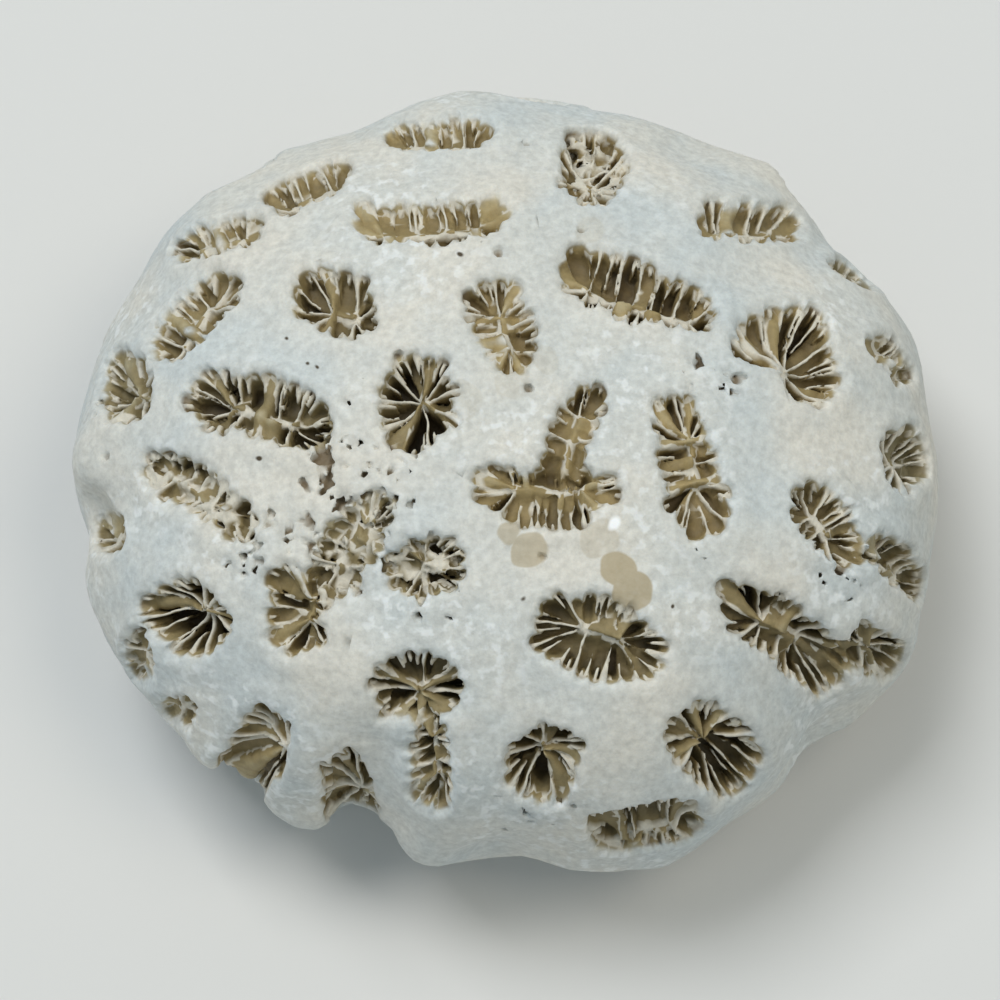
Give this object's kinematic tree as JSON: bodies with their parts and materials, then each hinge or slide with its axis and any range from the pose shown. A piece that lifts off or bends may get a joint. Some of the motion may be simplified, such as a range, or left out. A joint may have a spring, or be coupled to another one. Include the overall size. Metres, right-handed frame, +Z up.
{
  "type": "brain coral head",
  "caption": "Small bun-shaped head of worn brain coral skeleton, flat underneath, its smooth skin sunk with long, round and branching calices walled by radiating septa.",
  "frame": {"origin": "middle of the flat cut underneath, where the head was attached to rock", "axes": "+Z up out of the cut towards the crown, +X to the right and -Y to the front of the head as the picture shows it"},
  "size_m": [0.0541, 0.0493, 0.026],
  "materials": {
    "skeleton": "matte, finely grained, with darker tan gaps in the calices"
  },
  "bodies": {
    "root": {"coral": "skeleton"}
  },
  "joints": []
}
